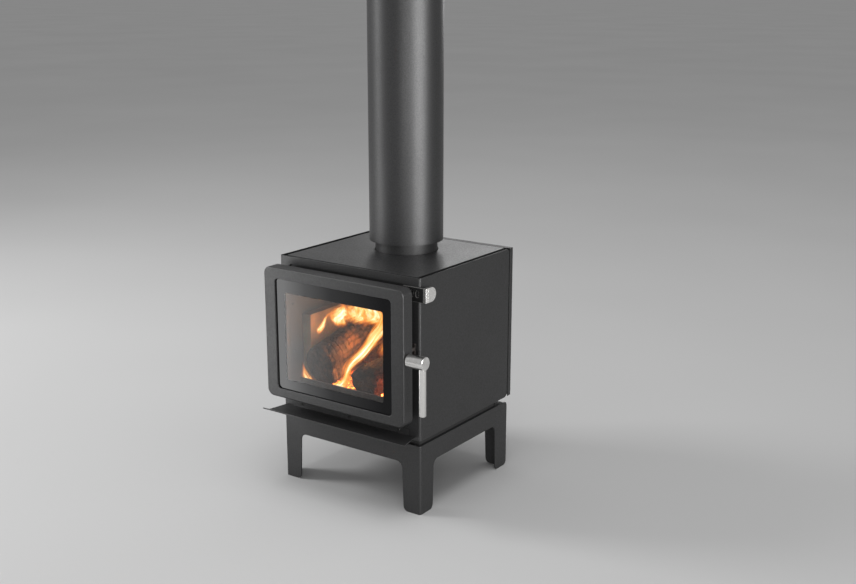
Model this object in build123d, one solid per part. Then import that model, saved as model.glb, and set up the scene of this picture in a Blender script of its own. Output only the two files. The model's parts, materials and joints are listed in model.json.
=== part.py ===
from build123d import *
from math import cos, pi, sin
import os

# Free-standing wood burning stove on a folded steel base, with a framed glass door and a flue.
# Millimetres. The front faces -Y, +X is the handle side, +Z is up and the floor is z = 0.
# Everything is drawn about the stove's own middle and moved by SHIFT when it is written,
# so that the origin is the middle of the whole object's footprint.

# ---- driving dimensions -------------------------------------------------------------------
BODY_W = 420.0                 # casing width
BODY_D = 383.0                 # casing depth, front face to the side panels' rear edges
HALF_W = BODY_W / 2
FRONT = -BODY_D / 2            # casing front face
REAR = BODY_D / 2              # side panels' rear edges
CORNER = 6.0                   # outer radius of the folded corners
PANEL_CORNER = 12.0            # radius of a side panel's rear corners
BASE_TOP = 173.0
CASING_BOTTOM = 186.5
CASING_TOP = 576.5

BASE_SHEET = 3.0
CASING_SHEET = 2.5
FIREBOX_PLATE = 5.0
GAP = 0.5                      # assembly gap between separate pieces

# base frame
ARCH_TOP = 123.5
ARCH_FILLET = 17.0
FOOT_RADIUS = 12.0
LEG_TAPER = 4.5                # how much wider a leg is at the arch than at the floor
FRONT_ARCH_HALF = 161.5        # half the gap between the front legs, at the floor
SIDE_ARCH = (-140.5, 140.0)    # the gap between a side's legs, at the floor
BASE_FLANGE = 22.0
BRACE_FRONT = 170.0            # front face of the rear cross brace
BRACE_TAB_Z = (20.0, 150.0)
PLINTH_HALF = 201.0
PLINTH_Y = (-181.0, 144.0)
PLINTH_WALL = 12.0

# casing and covers
MOUTH_HALF = 180.0
MOUTH_BOTTOM = 216.0
MOUTH_TOP = 558.0
MOUTH_CORNER = 6.0
SIDE_FLANGE = 24.0             # the side panels' rear edges fold in by this much
TOP_GAP_SIDE = 11.0            # open gap between the top plate and the side panels
TOP_GAP_FRONT = 8.0
TOP_PLATE_THICK = 5.0
TOP_PLATE_CORNER = 5.0
RAIL_X = (140.0, 160.0)        # the rails that carry the top plate above the firebox
RAIL_Y = (-165.0, 150.0)
RAIL_SHEET = 3.0
COVER_REAR = REAR + 17.0       # rear face of the rear cover
COVER_SHEET = 2.0
COVER_SCREW_X = 198.0
COVER_SCREW_Z = (225.0, 381.0, 537.0)
COVER_HOLE_R = 3.25
SPACER_R = 6.0
VENT_W = 7.0
VENT_H = 70.0
VENT_PITCH = 20.0
VENTS_IN_ROW = 15
VENT_ROW_Z = (270.0, 490.0)

# flue
FLUE_Y = 44.0
COLLAR_R = 77.5
COLLAR_WALL = 2.5
COLLAR_TOP = 640.0
PIPE_SEAT = 600.0              # the inner pipe stands on a stop ring inside the collar
INNER_PIPE_R = 74.6
INNER_PIPE_WALL = 1.5
OUTER_PIPE_R = 91.7
OUTER_PIPE_WALL = 1.2
OUTER_PIPE_BOTTOM = 602.5
PIPE_LENGTH = 750.0
PIPE_TOP = OUTER_PIPE_BOTTOM + PIPE_LENGTH
SPACER_Z = (616.0, 1310.0)     # spacers that hold the outer pipe round the inner one
SPACER_H = 14.0

# firebox
BOX_HALF = 175.0
BOX_FRONT = FRONT + CASING_SHEET + GAP
BOX_REAR = 160.0
BOX_BOTTOM = 216.0
BOX_TOP = 545.0
BOX_FRONT_HALF = 186.0
BOX_FRONT_Z = (208.0, 566.0)
BOX_FOOT_X = (110.0, 150.0)
BOX_FOOT_Y = (-150.0, 140.0)
BRICK = 25.0
FLOOR_BRICK_TOP = 250.0
SIDE_BRICK_TOP = 428.0
SIDE_BRICK_FRONT = -158.0
BAFFLE_BOTTOM = 478.0
BAFFLE_FRONT = -80.0
NECK_HALF = 150.0
NECK_BOTTOM = 262.0
NECK_TOP = 528.0
NECK_WALL = 8.0
NECK_FRONT = -229.4
NECK_SCREW_Y = -214.0
NECK_SCREW_Z = (348.0, 468.0)

# door
DOOR_HALF = 208.3
DOOR_BOTTOM = 235.5
DOOR_TOP = 561.8
DOOR_FRONT = -253.0
DOOR_BACK = -219.0
DOOR_CORNER = 18.0
DOOR_EDGE = 4.0                # radius of the rolled outer front edge
LIP = 3.0                      # thickness of the lip in front of the glass
LIP_ROUND = 1.5
OPEN_HALF = 174.0
OPEN_BOTTOM = 259.0
OPEN_TOP = 535.3
OPEN_CORNER = 10.0
GLASS_HALF = 178.0
GLASS_BOTTOM = 254.5
GLASS_TOP = 539.8
GLASS_THICK = 4.0
GASKET = 1.5
POCKET_CLEAR = 0.5
WELL_HALF = 189.0              # the wider well behind the glass
WELL_BOTTOM = 246.5
WELL_TOP = 548.5
LEDGE = DOOR_FRONT + LIP + 2 * GASKET + GLASS_THICK   # where the seal plate lies
SEAL_PLATE = 2.5
ROPE_HALF = 154.0              # centre line of the rope seal
ROPE_BOTTOM = 259.0
ROPE_TOP = 532.0
ROPE_W = 9.5
ROPE_THICK = 10.5

# hinge
HINGE_X = -203.0
HINGE_Y = -206.0
PIN_R = 4.0
RUNNING = 0.05                 # radial clearance of a running fit
KNUCKLE_R = 7.0
KNUCKLE_H = 25.0
LUG_THICK = 8.0
WASHER = 1.0
LUG_BOTTOMS = (262.0, 500.0)

# handle
SPINDLE_Y = -236.0
SPINDLE_Z = 397.0
SHAFT_R = 7.0
BARREL_R = 16.0
BARREL_END = 258.0
BUSH_R = 10.0
BUSH_FLANGE_R = 13.0
BUSH_FLANGE = 2.0
ROD_R = 8.5
ROD_X = 248.8
ROD_BOTTOM = 270.0
CAM_X = (191.5, 199.5)
CAM_REACH = 26.5
CAM_HUB_R = 11.0
KEEPER_SCREW_X = 187.0
KEEPER_SCREW_Z = (SPINDLE_Z - 12, SPINDLE_Z + 4)

# air slide
SLIDE_Y = FRONT - 3.5          # front face of the sliding plate
SLIDE_SHEET = 2.8
SLIDE_X = (166.0, 222.0)
SLIDE_Z = (522.5, 556.5)
PORT_X = 190.0
PORT_PITCH = 15.0
PORT_W = 8.0
PORT_H = 16.0
PORT_Z = 541.0
SLIDE_TRAVEL = PORT_PITCH / 2  # pushing in by half the pitch shuts the port
GUIDE_X = 173.5
GUIDE_R = 2.5
GUIDE_PLAY = 0.5
GUIDE_HOLE_R = 1.9
GUIDE_Z = (SLIDE_Z[0] + 7, SLIDE_Z[1] - 7)
KNOB_THICK = 8.0
KNOB_REAR = -155.8

# ash shelf
SHELF_TOP = 196.0
SHELF_SHEET = 2.5
SHELF_BEND = -250.0
LIP_EDGE = (-269.5, 205.0)     # y and z of the lip's free edge
SHELF_SCREW_X = (-150.0, 0.0, 150.0)
SHELF_SCREW_Z = SHELF_TOP + 9

# the whole object's box, and the move that puts the origin under its middle
LIP_HALF = 211.0
COVER_SCREW_HEAD = 3.0
SHIFT = Pos(-(BARREL_END - LIP_HALF) / 2, -(COVER_REAR + COVER_SCREW_HEAD + LIP_EDGE[0]) / 2, 0)


# ---- helpers ------------------------------------------------------------------------------
def block(x, y, z):
    """A box from three (low, high) pairs."""
    centre = Pos((x[0] + x[1]) / 2, (y[0] + y[1]) / 2, (z[0] + z[1]) / 2)
    return centre * Box(x[1] - x[0], y[1] - y[0], z[1] - z[0])


def round_z(x, y, z, radius):
    """A round bar along Z."""
    return Pos(x, y, (z[0] + z[1]) / 2) * Cylinder(radius, z[1] - z[0])


def round_x(x, y, z, radius):
    """A round bar along X."""
    return Pos((x[0] + x[1]) / 2, y, z) * Rot(0, 90, 0) * Cylinder(radius, x[1] - x[0])


def round_y(x, y, z, radius):
    """A round bar along Y."""
    return Pos(x, (y[0] + y[1]) / 2, z) * Rot(90, 0, 0) * Cylinder(radius, y[1] - y[0])


def tube_z(x, y, z, outer, inner):
    return round_z(x, y, z, outer) - round_z(x, y, (z[0] - 1, z[1] + 1), inner)


def upright(outline, y):
    """Stand an XY outline up in the XZ plane and fill it from y[0] to y[1]."""
    return extrude(Plane.XZ.offset(-y[1]) * outline, y[1] - y[0])


def sideways(outline, x):
    """Stand an XY outline up in the YZ plane and fill it from x[0] to x[1]."""
    return extrude(Plane.YZ.offset(x[0]) * outline, x[1] - x[0])


def pane(half, bottom, top, corner):
    """A rounded rectangle about x = 0, as an outline whose y is the height."""
    return Pos(0, (bottom + top) / 2) * RectangleRounded(2 * half, top - bottom, corner)


def frame(outer, inner, y):
    """A frame between two panes given as (half, bottom, top, corner)."""
    hole = upright(pane(*inner), (y[0] - 1, y[1] + 1))
    return upright(pane(*outer), y) - hole


def u_outline(half, front, rear, corner):
    """A plan outline with two rounded front corners and square rear ones."""
    long = RectangleRounded(2 * half, rear - front + 2 * corner, corner)
    keep = Rectangle(2 * half, rear - front)
    return (Pos(0, (front + rear) / 2 + corner) * long) & (Pos(0, (front + rear) / 2) * keep)


def wrap(half, front, rear, corner, sheet, z):
    """A sheet folded round the front and both sides."""
    outer = u_outline(half, front, rear, corner)
    inner = u_outline(half - sheet, front + sheet, rear + 1, corner - sheet)
    return Pos(0, 0, z[0]) * extrude(outer - inner, z[1] - z[0])


def corner_waste(y, z, radius):
    """What rounding a side panel's corner takes away. Signs of radius say which way is in."""
    across, up = radius
    size = abs(across)
    waste = block((-HALF_W - 1, HALF_W + 1), sorted((y, y + across)), sorted((z, z + up)))
    return waste - round_x((-HALF_W - 2, HALF_W + 2), y + across, z + up, size)


def arch_outline(low, high):
    """The gap under a beam and between two legs, with its flared feet."""
    points = [(low, 0), (low + LEG_TAPER, ARCH_TOP), (high - LEG_TAPER, ARCH_TOP), (high, 0)]
    gap = make_face(Polyline(*points, close=True))
    gap = fillet(gap.vertices().group_by(Axis.Y)[-1], ARCH_FILLET)
    middle = (low + high) / 2
    feet = Pos(middle, FOOT_RADIUS / 2) * Rectangle(high - low + 2 * FOOT_RADIUS, FOOT_RADIUS)
    for side in (low - FOOT_RADIUS, high + FOOT_RADIUS):
        feet -= Pos(side, FOOT_RADIUS) * Circle(FOOT_RADIUS)
    return gap + feet


def slot(width, height, x, z):
    """An upright slot with round ends."""
    return Pos(x, z) * Rot(0, 0, 90) * SlotOverall(height, width)


def screw(head_r, head_h, shank_r, shank):
    """A button head screw along +Z, its head's underside at the origin."""
    head = Pos(0, 0, head_h / 2) * Cylinder(head_r, head_h)
    head = fillet(head.edges().group_by(Axis.Z)[-1], head_h * 0.6)
    socket = Pos(0, 0, head_h - 0.6) * extrude(RegularPolygon(head_r * 0.45, 6), 1)
    return head - socket + Pos(0, 0, -shank / 2) * Cylinder(shank_r, shank)


def facing(x, y, z, direction):
    """A place for a screw whose head points along direction."""
    turn = {"-y": Rot(90, 0, 0), "+y": Rot(-90, 0, 0), "+x": Rot(0, 90, 0), "-x": Rot(0, -90, 0)}
    return Pos(x, y, z) * turn[direction]


def save(name, *solids):
    shape = SHIFT * (solids[0] if len(solids) == 1 else Compound(list(solids)))
    export_step(shape, f"parts/{name}.step")


# ---- base ---------------------------------------------------------------------------------
def base_frame():
    sheet = wrap(HALF_W, FRONT, REAR, CORNER, BASE_SHEET, (0, BASE_TOP))
    sheet -= upright(arch_outline(-FRONT_ARCH_HALF, FRONT_ARCH_HALF), (FRONT - 5, FRONT + 20))
    sheet -= sideways(arch_outline(*SIDE_ARCH), (-HALF_W - 5, HALF_W + 5))
    sheet -= corner_waste(REAR, 0, (-FOOT_RADIUS, FOOT_RADIUS))
    sheet -= corner_waste(REAR, BASE_TOP, (-10, -10))
    half = HALF_W - BASE_SHEET
    front = FRONT + BASE_SHEET
    rim = extrude(u_outline(half, front, REAR - 12, CORNER - BASE_SHEET), BASE_SHEET)
    middle = half - BASE_FLANGE
    rim -= block((-middle, middle), (front + BASE_FLANGE, REAR), (-1, BASE_SHEET + 1))
    flange = Pos(0, 0, BASE_TOP - BASE_SHEET) * rim
    save("base_frame", sheet + flange)


def base_rear_brace():
    half = HALF_W - BASE_SHEET
    face = Pos(0, (BASE_TOP - BASE_SHEET) / 2) * Rectangle(2 * half, BASE_TOP - BASE_SHEET)
    face -= arch_outline(-FRONT_ARCH_HALF, FRONT_ARCH_HALF)
    brace = upright(face, (BRACE_FRONT, BRACE_FRONT + BASE_SHEET))
    for side in (-1, 1):
        x = sorted((side * half, side * (half - BASE_SHEET)))
        brace += block(x, (BRACE_FRONT, REAR - 6), BRACE_TAB_Z)
    save("base_rear_brace", brace)


def plinth():
    outer = block((-PLINTH_HALF, PLINTH_HALF), PLINTH_Y, (BASE_TOP, CASING_BOTTOM))
    half = PLINTH_HALF - PLINTH_WALL
    y = (PLINTH_Y[0] + PLINTH_WALL, PLINTH_Y[1] - PLINTH_WALL)
    inner = block((-half, half), y, (BASE_TOP - 1, CASING_BOTTOM + 1))
    save("plinth", outer - inner)


# ---- casing -------------------------------------------------------------------------------
def casing_wrap():
    shell = wrap(HALF_W, FRONT, REAR, CORNER, CASING_SHEET, (CASING_BOTTOM, CASING_TOP))
    mouth = Pos(0, (MOUTH_BOTTOM + MOUTH_TOP) / 2) * RectangleRounded(
        2 * MOUTH_HALF, MOUTH_TOP - MOUTH_BOTTOM, MOUTH_CORNER)
    shell -= upright(mouth, (FRONT - 1, FRONT + 5))
    shell -= corner_waste(REAR, CASING_BOTTOM, (-PANEL_CORNER, PANEL_CORNER))
    shell -= corner_waste(REAR, CASING_TOP, (-PANEL_CORNER, -PANEL_CORNER))
    shell -= upright(slot(PORT_W - 2, PORT_H, PORT_X, PORT_Z), (FRONT - 1, FRONT + 5))
    for x in SHELF_SCREW_X:
        shell -= round_y(x, (FRONT - 1, FRONT + 5), SHELF_SCREW_Z, 2.2)
    for z in KEEPER_SCREW_Z:
        shell -= round_y(KEEPER_SCREW_X, (FRONT - 1, FRONT + 5), z, 1.9)
    flange_z = (CASING_BOTTOM + PANEL_CORNER, CASING_TOP - PANEL_CORNER)
    for side in (-1, 1):
        x = sorted((side * (HALF_W - 1), side * (HALF_W - SIDE_FLANGE)))
        flange = block(x, (REAR - CASING_SHEET, REAR), flange_z)
        for z in COVER_SCREW_Z:
            flange -= round_y(side * COVER_SCREW_X, (REAR - 5, REAR + 1), z, COVER_HOLE_R)
        shell += flange
    save("casing_wrap", shell)


def casing_floor():
    half = HALF_W - CASING_SHEET - GAP
    plate = u_outline(half, FRONT + CASING_SHEET + GAP, REAR - CASING_SHEET - GAP, CORNER)
    save("casing_floor", Pos(0, 0, CASING_BOTTOM) * extrude(plate, CASING_SHEET))


def top_plate():
    half = HALF_W - CASING_SHEET - TOP_GAP_SIDE
    front = FRONT + CASING_SHEET + TOP_GAP_FRONT
    rear = REAR - 1
    outline = Pos(0, (front + rear) / 2) * RectangleRounded(2 * half, rear - front, TOP_PLATE_CORNER)
    plate = Pos(0, 0, CASING_TOP - TOP_PLATE_THICK) * extrude(outline, TOP_PLATE_THICK)
    plate = chamfer(plate.edges().group_by(Axis.Z)[-1], 0.6)
    hole = round_z(0, FLUE_Y, (CASING_TOP - 2 * TOP_PLATE_THICK, CASING_TOP + 1), COLLAR_R + 2)
    save("top_plate", plate - hole)


def top_rails():
    top = CASING_TOP - TOP_PLATE_THICK
    rails = []
    for side in (-1, 1):
        flat = block(sorted((side * RAIL_X[0], side * RAIL_X[1])), RAIL_Y, (top - RAIL_SHEET, top))
        leg_x = sorted((side * RAIL_X[1], side * (RAIL_X[1] - RAIL_SHEET)))
        rails.append(flat + block(leg_x, RAIL_Y, (BOX_TOP, top)))
    save("top_rails", *rails)


def rear_cover():
    z = (CASING_BOTTOM, CASING_TOP)
    cover = block((-HALF_W, HALF_W), (COVER_REAR - COVER_SHEET, COVER_REAR), z)
    for side in (-1, 1):
        x = sorted((side * HALF_W, side * (HALF_W - COVER_SHEET)))
        cover += block(x, (REAR + 4, COVER_REAR), z)
    cover += block((-HALF_W, HALF_W), (REAR + 1, COVER_REAR), (CASING_TOP - COVER_SHEET, CASING_TOP))
    for corner in (-HALF_W, HALF_W):
        notch = block((corner - 10, corner + 10), (REAR, REAR + 4), (CASING_TOP - 5, CASING_TOP + 1))
        cover -= notch
    for z_row in VENT_ROW_Z:
        for i in range(VENTS_IN_ROW):
            x = (i - (VENTS_IN_ROW - 1) / 2) * VENT_PITCH
            cover -= upright(slot(VENT_W, VENT_H, x, z_row), (COVER_REAR - 5, COVER_REAR + 1))
    for side in (-1, 1):
        for z_hole in COVER_SCREW_Z:
            cover -= round_y(side * COVER_SCREW_X, (COVER_REAR - 5, COVER_REAR + 1), z_hole, COVER_HOLE_R)
    save("rear_cover", cover)


def rear_fixings():
    spacers = []
    screws = []
    for side in (-1, 1):
        for z in COVER_SCREW_Z:
            x = side * COVER_SCREW_X
            y = (REAR, COVER_REAR - COVER_SHEET)
            spacers.append(round_y(x, y, z, SPACER_R) - round_y(x, (y[0] - 1, y[1] + 1), z, COVER_HOLE_R))
            button = screw(5.5, COVER_SCREW_HEAD, 3.0, 24)
            screws.append(facing(x, COVER_REAR, z, "+y") * button)
    save("rear_spacers", *spacers)
    save("rear_cover_screws", *screws)


# ---- firebox ------------------------------------------------------------------------------
def firebox_shell():
    outer = block((-BOX_HALF, BOX_HALF), (BOX_FRONT + FIREBOX_PLATE, BOX_REAR), (BOX_BOTTOM, BOX_TOP))
    t = FIREBOX_PLATE
    room = block((-BOX_HALF + t, BOX_HALF - t), (BOX_FRONT, BOX_REAR - t), (BOX_BOTTOM + t, BOX_TOP - t))
    hole = round_z(0, FLUE_Y, (BOX_TOP - 20, BOX_TOP + 20), COLLAR_R)
    save("firebox_shell", outer - room - hole)


def firebox_front():
    y = (BOX_FRONT, BOX_FRONT + FIREBOX_PLATE)
    plate = block((-BOX_FRONT_HALF, BOX_FRONT_HALF), y, BOX_FRONT_Z)
    mouth = (NECK_HALF, NECK_BOTTOM, NECK_TOP, 10)
    ring = (NECK_HALF + NECK_WALL, NECK_BOTTOM - NECK_WALL, NECK_TOP + NECK_WALL, 18)
    plate += upright(pane(*ring), (NECK_FRONT, y[1]))
    plate -= upright(pane(*mouth), (NECK_FRONT - 1, y[1] + 1))
    for z in GUIDE_Z:
        plate -= round_y(GUIDE_X, (y[0] - 1, y[1] + 1), z, GUIDE_HOLE_R)
    screws = []
    for side, head in ((-1, "+x"), (1, "-x")):
        for z in NECK_SCREW_Z:
            place = facing(side * NECK_HALF, NECK_SCREW_Y, z, head)
            screws.append(place * screw(3.6, 2.2, 2, 5))
            plate -= place * Pos(0, 0, -2.5) * Cylinder(2, 5)
    save("firebox_front", plate)
    save("neck_screws", *screws)


def firebox_feet():
    feet = []
    for side in (-1, 1):
        x = sorted((side * BOX_FOOT_X[0], side * BOX_FOOT_X[1]))
        z = (CASING_BOTTOM + CASING_SHEET, BOX_BOTTOM)
        inside_y = (BOX_FOOT_Y[0] - 1, BOX_FOOT_Y[1] + 1)
        bar = block(x, BOX_FOOT_Y, z)
        bar -= block((x[0] + 3, x[1] - 3), inside_y, (z[0] + 3, z[1] - 3))
        feet.append(bar)
    save("firebox_feet", *feet)


def firebricks():
    wall = BOX_HALF - FIREBOX_PLATE - GAP
    rear = BOX_REAR - FIREBOX_PLATE - GAP
    floor = BOX_BOTTOM + FIREBOX_PLATE
    joint = 1.0
    tiles = []
    for i in range(3):
        low = -wall + i * 2 * wall / 3
        x = (low + joint / 2, low + 2 * wall / 3 - joint / 2)
        tiles.append(block(x, (BOX_FRONT + FIREBOX_PLATE + GAP, rear), (floor, FLOOR_BRICK_TOP)))
    save("firebrick_floor", *tiles)
    ends = (SIDE_BRICK_FRONT, -18.0, rear)
    height = (FLOOR_BRICK_TOP, SIDE_BRICK_TOP)
    for side, name in ((-1, "firebrick_left"), (1, "firebrick_right")):
        x = sorted((side * wall, side * (wall - BRICK)))
        save(name, *[block(x, (ends[i], ends[i + 1] - joint), height) for i in range(2)])
    inner = wall - BRICK - joint
    backs = []
    for i in range(2):
        x = sorted((joint / 2 * (1 - 2 * i), inner * (1 - 2 * i)))
        backs.append(block(x, (rear - BRICK, rear), (FLOOR_BRICK_TOP, BAFFLE_BOTTOM - 1)))
    save("firebrick_rear", *backs)


def baffle():
    wall = BOX_HALF - FIREBOX_PLATE - GAP
    rear = BOX_REAR - FIREBOX_PLATE - GAP
    halves = []
    for side in (-1, 1):
        x = sorted((side * 0.5, side * wall))
        halves.append(block(x, (BAFFLE_FRONT, rear), (BAFFLE_BOTTOM, BAFFLE_BOTTOM + BRICK)))
    save("baffle_boards", *halves)
    ledges = []
    for side in (-1, 1):
        edge = side * (BOX_HALF - FIREBOX_PLATE)
        y = (BAFFLE_FRONT, 120)
        flat = block(sorted((edge, edge - side * 18)), y, (BAFFLE_BOTTOM - 4, BAFFLE_BOTTOM))
        leg = block(sorted((edge, edge - side * 4)), y, (BAFFLE_BOTTOM - 22, BAFFLE_BOTTOM))
        ledges.append(flat + leg)
    save("baffle_ledges", *ledges)


def air_tube():
    """The secondary air tube under the baffle's front edge, drilled along its length."""
    reach = BOX_HALF - FIREBOX_PLATE - GAP
    y = BAFFLE_FRONT - 16
    z = BAFFLE_BOTTOM + 6
    tube = round_x((-reach, reach), y, z, 12) - round_x((-reach - 1, reach + 1), y, z, 9.5)
    for i in range(13):
        tube -= Pos(20 * (i - 6), y, z) * Rot(-35, 0, 0) * Pos(0, 0, 10) * Cylinder(2.5, 12)
    save("secondary_air_tube", tube)


def airwash_plate():
    """The bent plate above the mouth that sends air down the inside of the glass."""
    y = BOX_FRONT + FIREBOX_PLATE
    drop = block((-160, 160), (y + 14, y + 17), (500, 538))
    shelf = block((-160, 160), (y, y + 17), (535, 538))
    save("airwash_plate", drop + shelf)


def log_retainer():
    """The low rail across the mouth that keeps embers off the glass."""
    bar = block((-139, 139), (-208, -204), (NECK_BOTTOM, NECK_BOTTOM + 20))
    foot = block((-139, 139), (-208, -190), (NECK_BOTTOM, NECK_BOTTOM + 3))
    save("log_retainer", fillet((bar + foot).edges().filter_by(Axis.X).group_by(Axis.Z)[-1], 1.5))


def log_outline(half_width, half_height):
    """A split log's section: eight flats, wider or taller than it is round."""
    turns = [(i + 0.5) * pi / 4 for i in range(8)]
    return make_face(Polyline(*[(half_width * cos(t), half_height * sin(t)) for t in turns], close=True))


def logs():
    """Each split log as a tapered eight-sided bar, from its near end to its far end."""
    places = {
        "log_left": ((-98, -182, 310), (-97, -18, 358), (48, 61), (46, 56)),
        "log_right": ((38, -178, 294), (42, -16, 312), (45, 45), (42, 42)),
        "log_rear": ((-130, 46, 314), (128, 47, 312), (52, 66), (52, 64)),
    }
    for name, (near, far, near_size, far_size) in places.items():
        axis = Vector(*far) - Vector(*near)
        across = axis.cross(Vector(0, 0, 1))
        start = Plane(origin=near, x_dir=across, z_dir=axis)
        end = Plane(origin=far, x_dir=across, z_dir=axis)
        save(name, loft([start * log_outline(*near_size), end * log_outline(*far_size)]))


# ---- flue ---------------------------------------------------------------------------------
def flue():
    bore = COLLAR_R - COLLAR_WALL
    collar = tube_z(0, FLUE_Y, (BOX_TOP - FIREBOX_PLATE, COLLAR_TOP), COLLAR_R, bore)
    stop = tube_z(0, FLUE_Y, (PIPE_SEAT - 4, PIPE_SEAT), bore, bore - 5)
    save("flue_collar", collar + stop)
    liner = tube_z(0, FLUE_Y, (PIPE_SEAT, PIPE_TOP), INNER_PIPE_R, INNER_PIPE_R - INNER_PIPE_WALL)
    save("flue_pipe_inner", liner)
    shell = tube_z(0, FLUE_Y, (OUTER_PIPE_BOTTOM, PIPE_TOP), OUTER_PIPE_R, OUTER_PIPE_R - OUTER_PIPE_WALL)
    save("flue_pipe_outer", shell)
    lugs = []
    inner = OUTER_PIPE_R - OUTER_PIPE_WALL
    for height, core in zip(SPACER_Z, (COLLAR_R, INNER_PIPE_R)):
        z = (height, height + SPACER_H)
        ring = tube_z(0, FLUE_Y, z, core + 2, core)
        for i in range(3):
            arm = block((core + 1, inner - 2), (-8, 8), z)
            pad = tube_z(0, 0, z, inner, inner - 2.5) & block((core, inner + 5), (-14, 14), z)
            ring += Pos(0, FLUE_Y, 0) * Rot(0, 0, 90 + 120 * i) * (arm + pad)
        lugs.append(ring)
    save("flue_spacer_lower", lugs[0])
    save("flue_spacer_upper", lugs[1])


# ---- ash shelf ----------------------------------------------------------------------------
def ash_shelf():
    top = SHELF_TOP
    t = SHELF_SHEET
    lip_y, lip_z = LIP_EDGE
    profile = Polyline(
        (FRONT, top + 16), (FRONT, top - t), (SHELF_BEND, top - t),
        (lip_y, lip_z - t - 0.3), (lip_y, lip_z), (SHELF_BEND, top),
        (FRONT - t, top), (FRONT - t, top + 16), close=True)
    sheet = sideways(make_face(profile), (-LIP_HALF, LIP_HALF))
    plan = Polyline(
        (-197, FRONT), (-208, SHELF_BEND), (-LIP_HALF, lip_y),
        (LIP_HALF, lip_y), (208, SHELF_BEND), (197, FRONT), close=True)
    sheet &= Pos(0, 0, top - 20) * extrude(make_face(plan), 60)
    for side in (-1, 1):
        sheet -= block(sorted((side * 178, side * 215)), (FRONT - t - 1, FRONT + 1), (top + 0.01, top + 20))
    screws = []
    for x in SHELF_SCREW_X:
        sheet -= round_y(x, (FRONT - 5, FRONT + 1), SHELF_SCREW_Z, 2.6)
        screws.append(facing(x, FRONT - t, SHELF_SCREW_Z, "-y") * screw(4, 2.2, 2.2, t + CASING_SHEET))
    save("ash_shelf", sheet)
    save("ash_shelf_screws", *screws)


# ---- door ---------------------------------------------------------------------------------
def door_frame():
    body = upright(pane(DOOR_HALF, DOOR_BOTTOM, DOOR_TOP, DOOR_CORNER), (DOOR_FRONT, DOOR_BACK))
    body = fillet(body.faces().sort_by(Axis.Y)[0].edges(), DOOR_EDGE)
    opening = upright(pane(OPEN_HALF, OPEN_BOTTOM, OPEN_TOP, OPEN_CORNER), (DOOR_FRONT - 1, DOOR_BACK))
    body -= opening
    inner_edge = body.faces().sort_by(Axis.Y)[0].inner_wires()[0].edges()
    body = fillet(inner_edge, LIP_ROUND)
    pocket = (GLASS_HALF + POCKET_CLEAR, GLASS_BOTTOM - POCKET_CLEAR, GLASS_TOP + POCKET_CLEAR, 8)
    body -= upright(pane(*pocket), (DOOR_FRONT + LIP, DOOR_BACK + 1))
    body -= upright(pane(WELL_HALF, WELL_BOTTOM, WELL_TOP, 12), (LEDGE, DOOR_BACK + 1))
    cam_y = (SPINDLE_Y - CAM_HUB_R - 1, DOOR_BACK + 1)
    body -= block((WELL_HALF - 1, CAM_X[1] + 1), cam_y, (SPINDLE_Z - 30, SPINDLE_Z + 14))
    body -= round_x((CAM_X[1], DOOR_HALF + 1), SPINDLE_Y, SPINDLE_Z, BUSH_R)
    for x, z in seal_screw_places():
        body -= round_y(x, (LEDGE - 6, LEDGE + 1), z, 1.8)
    save("door_frame", body)


def seal_screw_places():
    side = [(s * (GLASS_HALF + 5.5), z) for s in (-1, 1) for z in (290.0, 350.0, 460.0, 520.0)]
    return side + [(x, z) for x in (-100.0, 100.0) for z in (GLASS_BOTTOM - 4, GLASS_TOP + 4.5)]


def door_glazing():
    lip_back = DOOR_FRONT + LIP
    glass_y = (lip_back + GASKET, lip_back + GASKET + GLASS_THICK)
    glass = (GLASS_HALF, GLASS_BOTTOM, GLASS_TOP, 7.5)
    save("door_glass", upright(pane(*glass), glass_y))
    front_hole = (OPEN_HALF + 0.8, OPEN_BOTTOM - 0.8, OPEN_TOP + 0.8, OPEN_CORNER)
    back_hole = (GLASS_HALF - 12, GLASS_BOTTOM + 12, GLASS_TOP - 12, 6)
    front = frame(glass, front_hole, (lip_back, glass_y[0]))
    back = frame(glass, back_hole, (glass_y[1], LEDGE))
    save("glass_gaskets", front, back)
    plate_y = (LEDGE, LEDGE + SEAL_PLATE)
    outer = (WELL_HALF - 1, WELL_BOTTOM + 1, WELL_TOP - 1, 11)
    inner = (ROPE_HALF - 7, ROPE_BOTTOM + 7, ROPE_TOP - 7, 8)
    plate = frame(outer, inner, plate_y)
    for x, z in seal_screw_places():
        plate -= round_y(x, (plate_y[0] - 1, plate_y[1] + 1), z, 2.1)
    save("seal_plate", plate)
    rope_y = (plate_y[1], plate_y[1] + ROPE_THICK)
    half = ROPE_W / 2
    rope_outer = (ROPE_HALF + half, ROPE_BOTTOM - half, ROPE_TOP + half, 14 + half)
    rope_inner = (ROPE_HALF - half, ROPE_BOTTOM + half, ROPE_TOP - half, 14 - half)
    save("door_rope_seal", frame(rope_outer, rope_inner, rope_y))
    screws = [facing(x, plate_y[1], z, "+y") * screw(3.0, 1.8, 1.75, 8) for x, z in seal_screw_places()]
    save("seal_plate_screws", *screws)


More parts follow.
